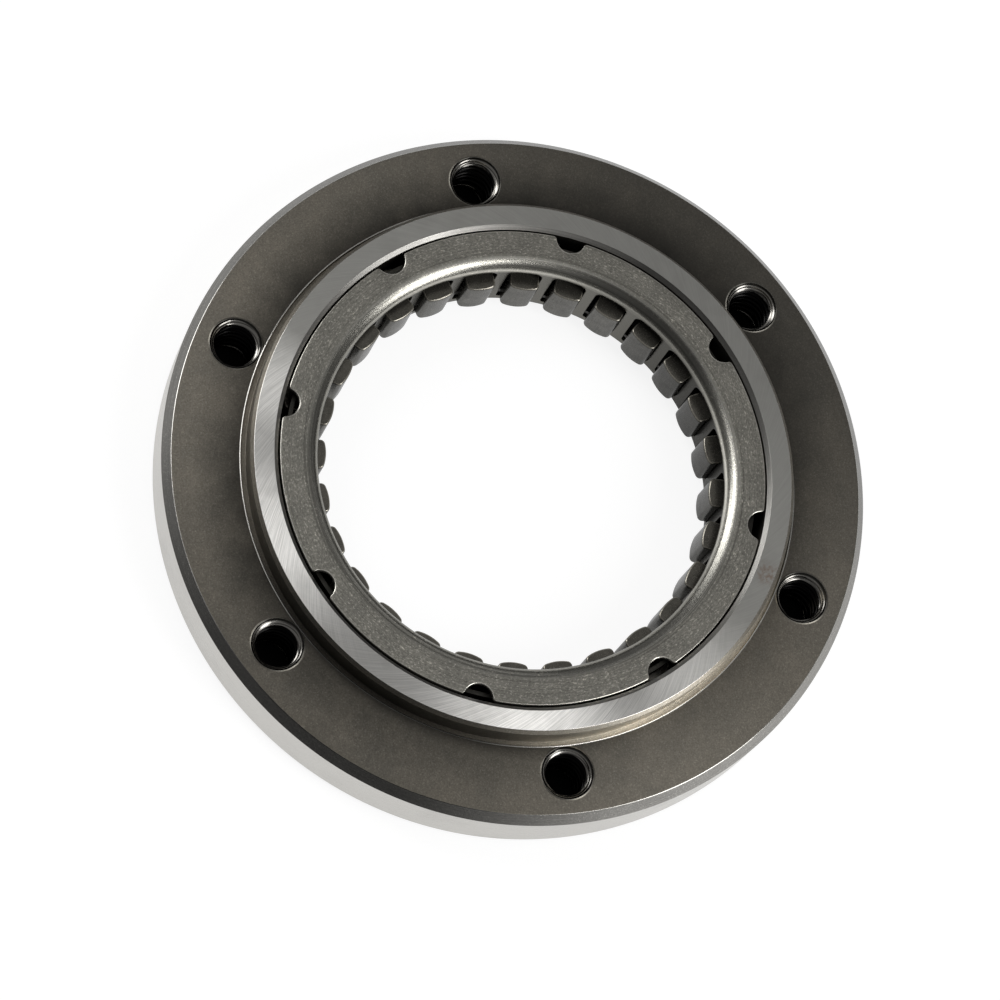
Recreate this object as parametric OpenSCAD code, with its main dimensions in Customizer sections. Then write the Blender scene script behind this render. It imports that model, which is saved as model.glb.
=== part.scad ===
// Starter clutch: a flanged outer race holding a full-phasing sprag set.
// The axis is Z, the flange's back face lies at z = 0 and the hub points up.
// Tapped hole number one is centred on the X axis.

/* [Outer race] */
// Thickness of the flange
flange_t = 12; // [11:0.5:16]
// Radial width of the bevel round the flange's front edge
rim_bevel_w = 1.3; // [0.5:0.1:2]
// Height of the bevel round the flange's front edge
rim_bevel_h = 1.75; // [0.5:0.05:2.5]
// Width and height of the bevel round the flange's back edge
back_bevel = 1; // [0.4:0.1:1.5]
// Radial thickness of the raised hub, from the raceway to its side
hub_wall = 4.4; // [3.5:0.1:4.8]
// Height of the hub above the flange
hub_h = 4.15; // [3.5:0.05:6]
// Bevel on the hub's outer edge
hub_bevel = 0.55; // [0.2:0.05:0.8]
// Bevel on the edge of the hub's bore
bore_bevel = 0.65; // [0.3:0.05:0.8]
// Width of the relief groove at the hub's root
groove_w = 0.9; // [0.5:0.1:1]
// Depth of the relief groove below the flange's front face
groove_h = 0.55; // [0.3:0.05:1]
// Radial width of the flat land between the holes' mouths and the flange's outside
rim_land = 3.6; // [2.4:0.1:6]
// Thickness of the shoulder that closes the raceway at the back
shoulder_h = 2; // [1.5:0.1:2.5]

/* [Tapped holes] */
// Number of tapped holes in the flange
hole_count = 6; // [3:1:8]
// Radial width of the narrow land between the relief groove and the holes' mouths
hole_land = 0.25; // [0.1:0.05:1.5]
// Diameter of the bored hole inside the thread
tap_d = 6.8; // [5:0.1:7.4]
// Diameter of the countersunk mouth of each hole
mouth_d = 8.4; // [7.6:0.1:8.6]

/* [Sprag set] */
// Number of sprags
sprag_count = 28; // [24:1:28]
// Diameter of the hardened outer raceway
raceway_d = 78.9; // [78.5:0.1:79.2]
// Radial space between the outer raceway and the shaft race
race_gap = 8.33; // [8.2:0.01:8.5]
// How far the unloaded sprag tips reach inside the shaft race
tip_preload = 0.1; // [0.02:0.01:0.11]
// Length of each sprag along the axis
sprag_len = 8; // [6:0.1:8.2]
// Angle of the first sprag from the X axis
sprag_phase = 2.45; // [0:0.01:12]
// Width of a sprag's inner head
head_in_w = 4.8; // [4.2:0.1:5]
// Width of a sprag's outer head
head_out_w = 5.2; // [4.8:0.1:5.4]
// Width of a sprag's waist
waist_w = 3.2; // [2.8:0.1:3.4]
// Radius of the cam at a sprag's inner end
cam_in_r = 7; // [6:0.1:8]
// Radius of the cam at a sprag's outer end
cam_out_r = 4.2; // [4:0.01:4.4]
// Sideways offset of the outer cam's centre from the middle of the inner head
cam_offset = 1.1; // [0.8:0.05:1.2]

/* [Cages] */
// Radial gap between the inner cage's flange and the raceway
flange_gap = 0.3; // [0.2:0.05:0.6]
// Depth of the cage's front face below the hub's face
cage_sink = 0.46; // [0.2:0.01:1]
// Thickness of the inner cage's sheet
sheet_t = 0.8; // [0.6:0.05:0.9]
// Radial space between the shaft race and the inner cage's wall
inner_space = 1.78; // [1.5:0.01:1.9]
// Outer radius of the bend between the inner cage's flange and wall
bend_r = 2.1; // [1.8:0.1:2.3]
// Number of assembly notches in the edge of the cage's flange
notch_count = 8; // [4:1:12]
// Radius of each assembly notch
notch_r = 2.35; // [1.5:0.05:2.5]
// Angle of the first notch from the X axis
notch_phase = 25.26; // [0:0.01:44]
// Radial space between the outer cage and the raceway
outer_space = 1.3; // [1.1:0.05:1.4]
// Thickness of the outer cage's sheet
outer_sheet_t = 0.65; // [0.5:0.05:0.7]
// Depth of the outer cage's front edge below the inner cage's front face
outer_cage_sink = 2.15; // [1.2:0.05:2.3]
// Thickness of the ribbon spring's strip
ribbon_t = 0.25; // [0.2:0.05:0.3]

/* [Hidden] */

$fn = 180;
eps = 0.01;
over = 2;

// Races, from the raceway outwards
raceway_r = raceway_d / 2;
shaft_race_r = raceway_r - race_gap;
hub_r = raceway_r + hub_wall;
groove_r = hub_r + groove_w;
hole_circle_r = groove_r + hole_land + mouth_d / 2;
flange_r = hole_circle_r + mouth_d / 2 + rim_land;
hub_top = flange_t + hub_h;
relief_w = 0.35;
relief_h = 0.9;

// Inner cage: a wall inside the sprags' waists and a flange over their ends
cage_in_r = shaft_race_r + inner_space;
cage_top = hub_top - cage_sink;
cage_flange_r = raceway_r - flange_gap;
cage_drop = 0.5;
cage_foot = shoulder_h - cage_drop;
notch_lip = 0.55;
notch_out = 0.1;

// Back shoulder of the race, open wide enough for the inner cage
shoulder_gap = 0.7;
shoulder_r = cage_in_r + sheet_t + shoulder_gap;
shoulder_bevel = 0.4;

// Sprags
sprag_foot = 1;
sprag_z = shoulder_h + sprag_foot;
sprag_top = sprag_z + sprag_len;
sprag_fit = 0.03;
pitch = 360 / sprag_count;
tip_r = shaft_race_r - tip_preload;
cam_in_y = tip_r + cam_in_r;
pivot_r = raceway_r - sprag_fit - cam_out_r;
pivot_y = sqrt(pivot_r * pivot_r - cam_offset * cam_offset);
head_in_round = 0.8;
head_out_round = 0.4;
head_in_h = 2.85;
head_out_h = 2.7;
pocket_r = 2.2;
waist_lean = 0.2;
waist_x = waist_lean * cam_offset;

// Windows: side play round a sprag's heads and waist, and end play past its ends.
// The inner head rests against one side of its window and lies down towards the other.
play_rest = 0.12;
play_lie = 0.65;
outer_play = 0.45;
ribbon_play = 0.35;
end_play = 0.2;
top_play = 0.4;
window_z = sprag_z - end_play;
window_drop = 0.3;
window_top = cage_top - bend_r - window_drop;
window_round = 0.55;
window_foot_round = 0.3;
window_top_round = 1.2;

// Outer cage and ribbon spring, standing on the race's shoulder
outer_cage_r = raceway_r - outer_space - outer_sheet_t;
outer_cage_top = cage_top - outer_cage_sink;
ribbon_rim = 1;
ribbon_top = sprag_top + top_play + ribbon_rim;
tongue_h = 3.4;
tongue_root = 0.9;
tongue_drop = 0.7;
tongue_play = 0.45;

// Name of sprag number i, with two digits
function sprag_name(i) = str("sprag_", i < 10 ? "0" : "", i);

// Places its children once for each sprag, on the sprag's radial line along Y
module each_pitch() {
    for (i = [0 : sprag_count - 1])
        rotate([0, 0, sprag_phase + i * pitch - 90]) children();
}

// Upright rectangle whose lower corners have radius r0 and upper corners radius r1
module round_rect(x0, x1, y0, y1, r0, r1) {
    translate([x0, y0 + r0]) square([x1 - x0, y1 - y0 - r0 - r1]);
    translate([x0 + r0, y0]) square([x1 - x0 - 2 * r0, r0 + eps]);
    translate([x0 + r1, y1 - r1 - eps]) square([x1 - x0 - 2 * r1, r1 + eps]);
    for (x = [x0 + r0, x1 - r0])
        translate([x, y0 + r0]) circle(r = r0, $fn = 32);
    for (x = [x0 + r1, x1 - r1])
        translate([x, y1 - r1]) circle(r = r1, $fn = 48);
}

// Cuts a window from x0 to x1 and z0 to z1 through a wall at radius r
module window_cut(x0, x1, z0, z1, r, foot_round = window_round, top_round = window_round) {
    translate([0, r + over, 0])
        rotate([90, 0, 0])
            linear_extrude(2 * over) round_rect(x0, x1, z0, z1, foot_round, top_round);
}

// Ring of rectangular section
module band(r0, r1, z0, z1) {
    rotate_extrude() translate([r0, z0]) square([r1 - r0, z1 - z0]);
}

// Half section of the outer race
module race_section() {
    polygon([
        [shoulder_r, shoulder_bevel],
        [shoulder_r + shoulder_bevel, 0],
        [flange_r - back_bevel, 0],
        [flange_r, back_bevel],
        [flange_r, flange_t - rim_bevel_h],
        [flange_r - rim_bevel_w, flange_t],
        [groove_r, flange_t],
        [groove_r, flange_t - groove_h],
        [hub_r, flange_t - groove_h],
        [hub_r, hub_top - hub_bevel],
        [hub_r - hub_bevel, hub_top],
        [raceway_r + bore_bevel, hub_top],
        [raceway_r, hub_top - bore_bevel],
        [raceway_r, shoulder_h + relief_h],
        [raceway_r + relief_w, shoulder_h + relief_h - relief_w],
        [raceway_r + relief_w, shoulder_h],
        [shoulder_r, shoulder_h]
    ]);
}

// Tapped hole along Z with a countersunk mouth at each face of the flange
module tapped_hole() {
    sink = (mouth_d - tap_d) / 2;
    translate([0, 0, -over]) cylinder(d = tap_d, h = flange_t + 2 * over, $fn = 64);
    translate([0, 0, flange_t - sink])
        cylinder(d1 = tap_d, d2 = mouth_d, h = sink, $fn = 64);
    translate([0, 0, flange_t - eps]) cylinder(d = mouth_d, h = over, $fn = 64);
    cylinder(d1 = mouth_d, d2 = tap_d, h = sink, $fn = 64);
    translate([0, 0, eps - over]) cylinder(d = mouth_d, h = over, $fn = 64);
}

module outer_race() {
    color("dimgray") difference() {
        rotate_extrude() race_section();
        for (i = [0 : hole_count - 1])
            rotate([0, 0, i * 360 / hole_count])
                translate([hole_circle_r, 0, 0]) tapped_hole();
    }
}

// Half section of the inner cage: front flange, round bend and inner wall
module inner_cage_section() {
    bend_x = cage_in_r + bend_r;
    bend_y = cage_top - bend_r;
    translate([bend_x, cage_top - sheet_t])
        square([cage_flange_r - bend_x, sheet_t]);
    translate([cage_in_r, cage_foot]) square([sheet_t, bend_y - cage_foot]);
    intersection() {
        translate([bend_x, bend_y]) difference() {
            circle(r = bend_r, $fn = 64);
            circle(r = bend_r - sheet_t, $fn = 64);
        }
        translate([cage_in_r - over, bend_y]) square([bend_r + over, bend_r + over]);
    }
}

// Outline of one assembly notch: a half round whose mouth corners are rounded off
module notch_outline() {
    notch_c = cage_flange_r + notch_out;
    lip_c = cage_flange_r - notch_lip;
    reach = notch_r + notch_lip;
    a = acos((lip_c * lip_c + notch_c * notch_c - reach * reach) / (2 * lip_c * notch_c));
    translate([0, notch_c]) circle(r = notch_r, $fn = 48);
    difference() {
        polygon([
            [0, notch_c],
            lip_c * [sin(-a), cos(a)],
            (cage_flange_r + over) * [sin(-a), cos(a)],
            (cage_flange_r + over) * [sin(a), cos(a)],
            lip_c * [sin(a), cos(a)]
        ]);
        for (s = [-1, 1])
            translate(lip_c * [sin(s * a), cos(a)]) circle(r = notch_lip, $fn = 32);
    }
}

module inner_cage() {
    x0 = -head_in_w / 2 - play_lie;
    x1 = head_in_w / 2 + play_rest;
    color("darkgray") difference() {
        rotate_extrude() inner_cage_section();
        for (i = [0 : notch_count - 1])
            rotate([0, 0, notch_phase + i * 360 / notch_count - 90])
                translate([0, 0, cage_top - over])
                    linear_extrude(2 * over) notch_outline();
        each_pitch()
            window_cut(x0, x1, window_z, window_top, cage_in_r, window_foot_round, window_top_round);
    }
}

module outer_cage() {
    x0 = cam_offset - head_out_w / 2 - outer_play;
    x1 = cam_offset + head_out_w / 2 + outer_play;
    color("gray") difference() {
        band(outer_cage_r, outer_cage_r + outer_sheet_t, shoulder_h, outer_cage_top);
        each_pitch()
            window_cut(x0, x1, window_z, sprag_top + top_play, outer_cage_r);
    }
}

// Outline of one spring tongue, slanting inwards from the strip to a sprag's waist pocket
module tongue_outline() {
    root_x = waist_x - waist_w / 2 - ribbon_play - tongue_root;
    pocket_x = waist_x - waist_w / 2 - pocket_r;
    tip_x = pocket_x + sqrt(pocket_r * pocket_r - tongue_drop * tongue_drop) - tongue_play;
    polygon([
        [root_x, pivot_r],
        [tip_x, pivot_r - tongue_drop],
        [tip_x - ribbon_t, pivot_r - tongue_drop],
        [root_x - ribbon_t, pivot_r]
    ]);
}

// Thin strip between the cages, with a window and a tongue for each sprag
module ribbon_spring() {
    x0 = waist_x - waist_w / 2 - ribbon_play;
    x1 = waist_x + waist_w / 2 + ribbon_play;
    color("silver") union() {
        difference() {
            band(pivot_r - ribbon_t / 2, pivot_r + ribbon_t / 2, shoulder_h, ribbon_top);
            each_pitch()
                window_cut(x0, x1, window_z, sprag_top + top_play, pivot_r);
        }
        each_pitch()
            translate([0, 0, sprag_z + (sprag_len - tongue_h) / 2])
                linear_extrude(tongue_h) tongue_outline();
    }
}

// End of a sprag in outline: a cam arc of radius r between two parallel sides, with round corners.
// Its own frame has the cam's centre at the origin and the arc towards -Y.
module cam_head(r, w, h, corner_r) {
    corner_x = w / 2 - corner_r;
    corner_y = -sqrt(pow(r - corner_r, 2) - corner_x * corner_x);
    far = 2 * r / (r - corner_r);
    for (s = [-1, 1])
        translate([s * corner_x, corner_y]) circle(r = corner_r, $fn = 32);
    translate([-w / 2, corner_y]) square([w, h - r - corner_y]);
    intersection() {
        circle(r = r, $fn = 128);
        polygon([[0, 0], [-far * corner_x, far * corner_y], [far * corner_x, far * corner_y]]);
    }
}

// Cross-section of a sprag on its radial line along Y, with the part's axis at the origin
module sprag_section() {
    neck_in_y = tip_r + head_in_h;
    neck_out_y = pivot_y + cam_out_r - head_out_h;
    translate([0, cam_in_y]) cam_head(cam_in_r, head_in_w, head_in_h, head_in_round);
    translate([cam_offset, pivot_y]) rotate(180)
        cam_head(cam_out_r, head_out_w, head_out_h, head_out_round);
    difference() {
        polygon([
            [-head_in_w / 2, neck_in_y - eps],
            [head_in_w / 2, neck_in_y - eps],
            [cam_offset + head_out_w / 2, neck_out_y + eps],
            [cam_offset - head_out_w / 2, neck_out_y + eps]
        ]);
        for (s = [-1, 1])
            translate([waist_x + s * (waist_w / 2 + pocket_r), pivot_r])
                circle(r = pocket_r, $fn = 64);
    }
}

module sprag(i) {
    color("slategray")
        rotate([0, 0, sprag_phase + (i - 1) * pitch - 90])
            translate([0, 0, sprag_z]) linear_extrude(sprag_len) sprag_section();
}

outer_race();
inner_cage();
outer_cage();
ribbon_spring();
for (i = [1 : sprag_count])
    sprag(i);
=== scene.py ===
"""Looks of the starter clutch: turned race with real threads, rounded cage sheet and tumbled sprags."""

import math

import bmesh
import bpy
from mathutils import Matrix, Vector
from mathutils.geometry import delaunay_2d_cdt


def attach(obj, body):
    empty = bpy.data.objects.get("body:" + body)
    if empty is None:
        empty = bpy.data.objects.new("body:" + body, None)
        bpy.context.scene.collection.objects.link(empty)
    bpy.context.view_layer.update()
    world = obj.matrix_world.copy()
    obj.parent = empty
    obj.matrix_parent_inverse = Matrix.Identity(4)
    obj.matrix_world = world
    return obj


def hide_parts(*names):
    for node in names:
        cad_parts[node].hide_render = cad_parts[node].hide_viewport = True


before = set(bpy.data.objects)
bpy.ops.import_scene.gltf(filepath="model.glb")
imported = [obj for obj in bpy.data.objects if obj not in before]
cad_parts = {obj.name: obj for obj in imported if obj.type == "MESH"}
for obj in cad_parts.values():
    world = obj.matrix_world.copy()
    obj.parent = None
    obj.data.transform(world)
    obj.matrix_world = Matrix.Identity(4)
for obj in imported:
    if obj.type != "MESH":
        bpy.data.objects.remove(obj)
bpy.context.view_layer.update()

MM = 0.001
# Points closer than this, in metres, are one
weld = 0.000002

# Outer race, in millimetres as the solids have it
raceway_r = 39.45
hub_r = raceway_r + 4.4
hub_top = 16.15
hub_bevel = 0.55
bore_bevel = 0.65
groove_r = hub_r + 0.9
groove_h = 0.55
flange_r = 57.0
flange_t = 12.0
rim_bevel_w = 1.3
rim_bevel_h = 1.75
back_bevel = 1.0
relief_w = 0.35
relief_h = 0.9
shoulder_h = 2.0
shoulder_r = 34.4
shoulder_bevel = 0.4
hole_count = 6
hole_circle_r = 49.2
mouth_r = 4.2
bore_r = 3.4
thread_pitch = 1.25
thread_depth = 0.62
# Steps round the race and round each hole, shared by the parts that meet there
race_steps = 360
hole_steps = 48

# Inner cage
cage_in_r = 32.9
cage_top = 15.69
cage_foot = 1.5
cage_flange_r = 39.15
sheet_t = 0.8
bend_r = 2.1
notch_count = 8
notch_phase = 25.26
notch_r = 2.35
notch_lip = 0.55
notch_out = 0.1
window_x0 = -3.05
window_x1 = 2.52
window_z0 = 2.8
window_z1 = 13.29
window_foot_round = 0.3
window_top_round = 1.2

# Sprags
sprag_count = 28
sprag_phase = 2.45
sprag_z = 3.0
sprag_len = 8.0
sprag_end_round = 0.3
tip_r = 31.02
pivot_r = 35.22
cam_offset = 1.1
pivot_y = math.sqrt(pivot_r**2 - cam_offset**2)
cam_in_r = 7.0
cam_out_r = 4.2
head_in_w = 4.8
head_out_w = 5.2
head_in_h = 2.85
head_out_h = 2.7
head_in_round = 0.8
head_out_round = 0.4
waist_w = 3.2
waist_x = 0.2 * cam_offset
pocket_r = 2.2


class Net:
    """Short calls for adding and joining nodes of one tree."""

    def __init__(self, tree):
        self.tree = tree

    def add(self, kind, inputs=(), **settings):
        node = self.tree.nodes.new(kind)
        for key, value in settings.items():
            setattr(node, key, value)
        for key, value in dict(inputs).items():
            self.feed(node.inputs[key], value)
        return node

    def feed(self, socket, value):
        if isinstance(value, bpy.types.NodeSocket):
            self.tree.links.new(value, socket)
        else:
            socket.default_value = value

    def math(self, operation, *values, clamp=False):
        node = self.add("ShaderNodeMath", operation=operation, use_clamp=clamp)
        for socket, value in zip(node.inputs, values):
            self.feed(socket, value)
        return node.outputs[0]

    def times(self, a, b):
        return self.math("MULTIPLY", a, b)

    def plus(self, a, b):
        return self.math("ADD", a, b)

    def minus(self, a, b, clamp=False):
        return self.math("SUBTRACT", a, b, clamp=clamp)

    def vec(self, x=0.0, y=0.0, z=0.0):
        return self.add("ShaderNodeCombineXYZ", {0: x, 1: y, 2: z}).outputs[0]

    def split(self, vector):
        return self.add("ShaderNodeSeparateXYZ", {0: vector}).outputs

    def vmath(self, operation, a, b):
        node = self.add("ShaderNodeVectorMath", {0: a, 1: b}, operation=operation)
        return node.outputs["Value" if operation == "DISTANCE" else "Vector"]

    def scaled(self, vector, scale):
        return self.add("ShaderNodeVectorMath", {0: vector, "Scale": scale}, operation="SCALE").outputs[0]

    def polar(self, radius, turn, height=0.0):
        """The point at this radius, turn and height."""
        along, across = self.math("COSINE", turn), self.math("SINE", turn)
        return self.vec(self.times(radius, along), self.times(radius, across), height)


def stand(name, data):
    """A new object with this data, in the scene."""
    thing = bpy.data.objects.new(name, data)
    bpy.context.scene.collection.objects.link(thing)
    return thing


def settle(thing, modifier):
    """Makes what the modifier gives the object's own plain mesh."""
    graph = bpy.context.evaluated_depsgraph_get()
    made = bpy.data.meshes.new_from_object(thing.evaluated_get(graph), depsgraph=graph)
    thing.modifiers.remove(modifier)
    thing.data = made


def geometry_tree(name, inputs):
    """A Geometry Nodes tree with a geometry input and output and these named size inputs."""
    tree = bpy.data.node_groups.new(name, "GeometryNodeTree")
    tree.interface.new_socket(name="Geometry", in_out="INPUT", socket_type="NodeSocketGeometry")
    for key, value in inputs.items():
        kind = "NodeSocketInt" if isinstance(value, int) else "NodeSocketFloat"
        tree.interface.new_socket(name=key, in_out="INPUT", socket_type=kind).default_value = value
    tree.interface.new_socket(name="Geometry", in_out="OUTPUT", socket_type="NodeSocketGeometry")
    return tree, Net(tree), tree.nodes.new("NodeGroupInput").outputs


def end_tree(net, geometry, material):
    """Closes a tree: the instances become real, doubles are joined and the material is set."""
    real = net.add("GeometryNodeRealizeInstances", {"Geometry": geometry})
    merged = net.add("GeometryNodeMergeByDistance", {"Geometry": real.outputs[0], "Distance": weld})
    painted = net.add("GeometryNodeSetMaterial", {"Geometry": merged.outputs[0], "Material": material})
    net.add("NodeGroupOutput", {0: painted.outputs[0]})


def position(net):
    return net.add("GeometryNodeInputPosition").outputs[0]


def unit_grid(net, across, up):
    """A flat grid of so many steps, to be shaped: its mesh, and each point's share across and row."""
    counts = {"Vertices X": net.plus(across, 1.0), "Vertices Y": net.plus(up, 1.0)}
    grid = net.add("GeometryNodeMeshGrid", {"Size X": 1.0, "Size Y": 1.0, **counts})
    spot = net.split(position(net))
    row = net.math("ROUND", net.times(net.plus(spot[1], 0.5), up))
    return grid.outputs[0], net.plus(spot[0], 0.5), row


def sampled(net, geometry, value, index):
    """What this value is at the geometry's point of this index."""
    inputs = {"Geometry": geometry, "Value": value, "Index": index}
    return net.add("GeometryNodeSampleIndex", inputs, data_type="FLOAT_VECTOR", domain="POINT").outputs[0]


def set_positions(net, geometry, **where):
    """The geometry with its points at this Position, or moved by this Offset."""
    return net.add("GeometryNodeSetPosition", {"Geometry": geometry, **where}).outputs[0]


def set_round(net, piece, count):
    """So many copies of the piece, evenly round the axis."""
    points = net.add("GeometryNodePoints", {"Count": count, "Position": (0.0, 0.0, 0.0)}).outputs[0]
    spin = net.math("DIVIDE", net.times(net.add("GeometryNodeInputIndex").outputs[0], math.tau), count)
    inputs = {"Points": points, "Instance": piece, "Rotation": net.vec(0.0, 0.0, spin)}
    return net.add("GeometryNodeInstanceOnPoints", inputs).outputs[0]


def grow(name, tree, base=None, **sizes):
    """A plain mesh object made by the tree from a base mesh, with these sizes given to its named inputs."""
    thing = stand(name, base or bpy.data.meshes.new(name))
    modifier = thing.modifiers.new("Shape", "NODES")
    modifier.node_group = tree
    for item in tree.interface.items_tree:
        if item.in_out == "INPUT" and item.name in sizes:
            modifier[item.identifier] = sizes[item.name]
    settle(thing, modifier)
    thing.data.name = name
    return thing


def plain_mesh(name, points, faces=(), edges=(), scale=MM):
    mesh = bpy.data.meshes.new(name)
    mesh.from_pydata([Vector(p) * scale for p in points], edges, faces)
    return mesh


def finish_surface(thing, sharp):
    """Welds the mesh, turns faces outwards and marks edges past this angle sharp. Large faces stay flat."""
    bm = bmesh.new()
    bm.from_mesh(thing.data)
    bmesh.ops.remove_doubles(bm, verts=bm.verts, dist=weld)
    bmesh.ops.dissolve_degenerate(bm, edges=bm.edges, dist=weld / 2)
    bmesh.ops.delete(bm, geom=[v for v in bm.verts if not v.link_faces], context="VERTS")
    bmesh.ops.recalc_face_normals(bm, faces=bm.faces)
    limit = math.radians(sharp)
    for edge in bm.edges:
        edge.smooth = edge.is_manifold and edge.calc_face_angle(0.0) < limit
    for face in bm.faces:
        face.smooth = True
    bm.to_mesh(thing.data)
    bm.free()
    even = thing.modifiers.new("Even", "WEIGHTED_NORMAL")
    even.keep_sharp = True
    settle(thing, even)


def paint_regions(thing, materials, pick):
    """Gives each face the material that pick names for its radius, height, upward slope and centre."""
    names = list(materials)
    thing.data.materials.clear()
    for name in names:
        thing.data.materials.append(materials[name])
    for face in thing.data.polygons:
        centre = face.center / MM
        named = pick(math.hypot(centre.x, centre.y), centre.z, face.normal.z, centre)
        face.material_index = names.index(named)


def arc(cx, cy, r, a0, a1, steps):
    """Points on an arc from angle a0 to a1, in degrees."""
    turns = [math.radians(a0 + (a1 - a0) * k / steps) for k in range(steps + 1)]
    return [(cx + r * math.cos(a), cy + r * math.sin(a)) for a in turns]


def softened(points, radius, steps=3):
    """An open chain of points with its corners rounded to this radius, less where the sides are short."""
    out = [points[0]]
    for before, here, after in zip(points, points[1:], points[2:]):
        p, a, b = Vector(here), Vector(before), Vector(after)
        u, v = (a - p).normalized(), (b - p).normalized()
        half = u.angle(v) / 2
        if half > math.radians(88):
            out.append(here)
            continue
        cut = min(radius / math.tan(half), 0.4 * (a - p).length, 0.4 * (b - p).length)
        r = cut * math.tan(half)
        centre = p + (u + v).normalized() * (r / math.sin(half))
        start, end = p + u * cut - centre, p + v * cut - centre
        # angle_signed counts clockwise as positive, Rotation counts it as negative
        turn = -start.angle_signed(end)
        for k in range(steps + 1):
            q = start.copy()
            q.rotate(Matrix.Rotation(turn * k / steps, 2))
            out.append(tuple(centre + q))
    out.append(points[-1])
    return out


def inside(point, ring):
    """Whether the point lies inside the closed ring."""
    hit = False
    for (xa, ya), (xb, yb) in zip(ring, ring[1:] + ring[:1]):
        if (ya > point[1]) != (yb > point[1]) and point[0] < (xb - xa) * (point[1] - ya) / (yb - ya) + xa:
            hit = not hit
    return hit


def new_material(name):
    material = bpy.data.materials.new(name)
    material.use_nodes = True
    material.node_tree.nodes.clear()
    return material, Net(material.node_tree)


def metal_shader(net, color, rough, bumps=(), metal=1.0, sheen_across=0.0, marks_along=None, grazing=1.0):
    """A metal whose gloss spreads across its marks. Oxide and oil dull it at grazing angles.
    bumps are (height, depth in metres, strength), coarse to fine."""
    look = {"Base Color": color, "Roughness": rough, "Metallic": metal}
    shader = net.add("ShaderNodeBsdfPrincipled", {**look, "Specular Tint": (grazing, grazing, grazing, 1.0)})
    under = {}
    for height, depth, strength in bumps:
        bump = net.add("ShaderNodeBump", {"Height": height, "Distance": depth, "Strength": strength, **under})
        under = {"Normal": bump.outputs[0]}
        net.feed(shader.inputs["Normal"], bump.outputs[0])
    if marks_along is not None:
        shader.inputs["Anisotropic"].default_value = sheen_across
        shader.inputs["Anisotropic Rotation"].default_value = 0.25
        net.feed(shader.inputs["Tangent"], marks_along)
    return shader


def close_material(net, shader):
    net.add("ShaderNodeOutputMaterial", {0: shader.outputs[0]})


def mixed(net, share, first, second):
    """The first shader, with this share of the second."""
    return net.add("ShaderNodeMixShader", {0: share, 1: first.outputs[0], 2: second.outputs[0]})


def round_the_axis(net, angle, lean=90.0):
    """Direction of marks that lean by this many degrees from the radius, in object space."""
    turn = net.plus(angle, math.radians(lean))
    return net.vec(net.math("COSINE", turn), net.math("SINE", turn), 0.0)


def place(net):
    """The object's own coordinates in millimetres: the spot, its three parts, its radius and its angle."""
    spot = net.scaled(net.add("ShaderNodeTexCoord").outputs["Object"], 1000.0)
    parts = net.split(spot)
    radius = net.math("SQRT", net.plus(net.times(parts[0], parts[0]), net.times(parts[1], parts[1])))
    return spot, parts, radius, net.math("ARCTAN2", parts[1], parts[0])


def noise(net, spot, scale, detail=3.0, rough=0.7):
    inputs = {"Vector": spot, "Scale": scale, "Detail": detail, "Roughness": rough}
    return net.add("ShaderNodeTexNoise", inputs).outputs[0]


def streaks(net, parts, factors, detail=3.0, rough=0.7):
    """Noise stretched along these parts of the place, each taken times its factor."""
    return noise(net, net.vec(*(net.times(p, f) for p, f in zip(parts, factors))), 1.0, detail, rough)


def ramp(net, value, low, high, out_low=0.0, out_high=1.0):
    """Maps low to high onto out_low to out_high, and goes no further."""
    span = {"From Min": low, "From Max": high, "To Min": out_low, "To Max": out_high}
    return net.add("ShaderNodeMapRange", {"Value": value, **span}).outputs[0]


def blend(net, share, a, b):
    """The first colour with this share of the second. Colours are inputs 6 and 7, and output 2."""
    node = net.add("ShaderNodeMix", {0: share}, data_type="RGBA")
    for socket, value in ((node.inputs[6], a), (node.inputs[7], b)):
        net.feed(socket, value if isinstance(value, bpy.types.NodeSocket) else (*value, 1.0))
    return node.outputs[2]


def facing(net, angle, toward, none, full):
    """1 on the side of the clutch at this angle in degrees, 0 where the cosine from it is down to none."""
    return ramp(net, net.math("COSINE", net.minus(angle, math.radians(toward))), none, full)


def nearest_centre(net, radius, angle, count, circle, phase=0.0):
    """Distance in millimetres from the nearest of so many centres on a circle, the first at this phase."""
    turn = math.tau / count
    start = net.minus(angle, math.radians(phase))
    off = net.minus(start, net.times(net.math("ROUND", net.math("DIVIDE", start, turn)), turn))
    return net.vmath("DISTANCE", net.polar(radius, off), (circle, 0.0, 0.0))


def painted_side_light(net, angle, base, light_patches, where=1.0):
    """The base colour painted lighter or darker on given sides as painted light and shade: side in degrees,
    cosine at none and full, factor.
    """
    factor = 1.0
    for toward, none, full, tone in light_patches:
        share = net.times(facing(net, angle, toward, none, full), where)
        factor = net.times(net.plus(net.times(share, tone - 1.0), 1.0), factor)
    return net.scaled(base, factor)


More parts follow.
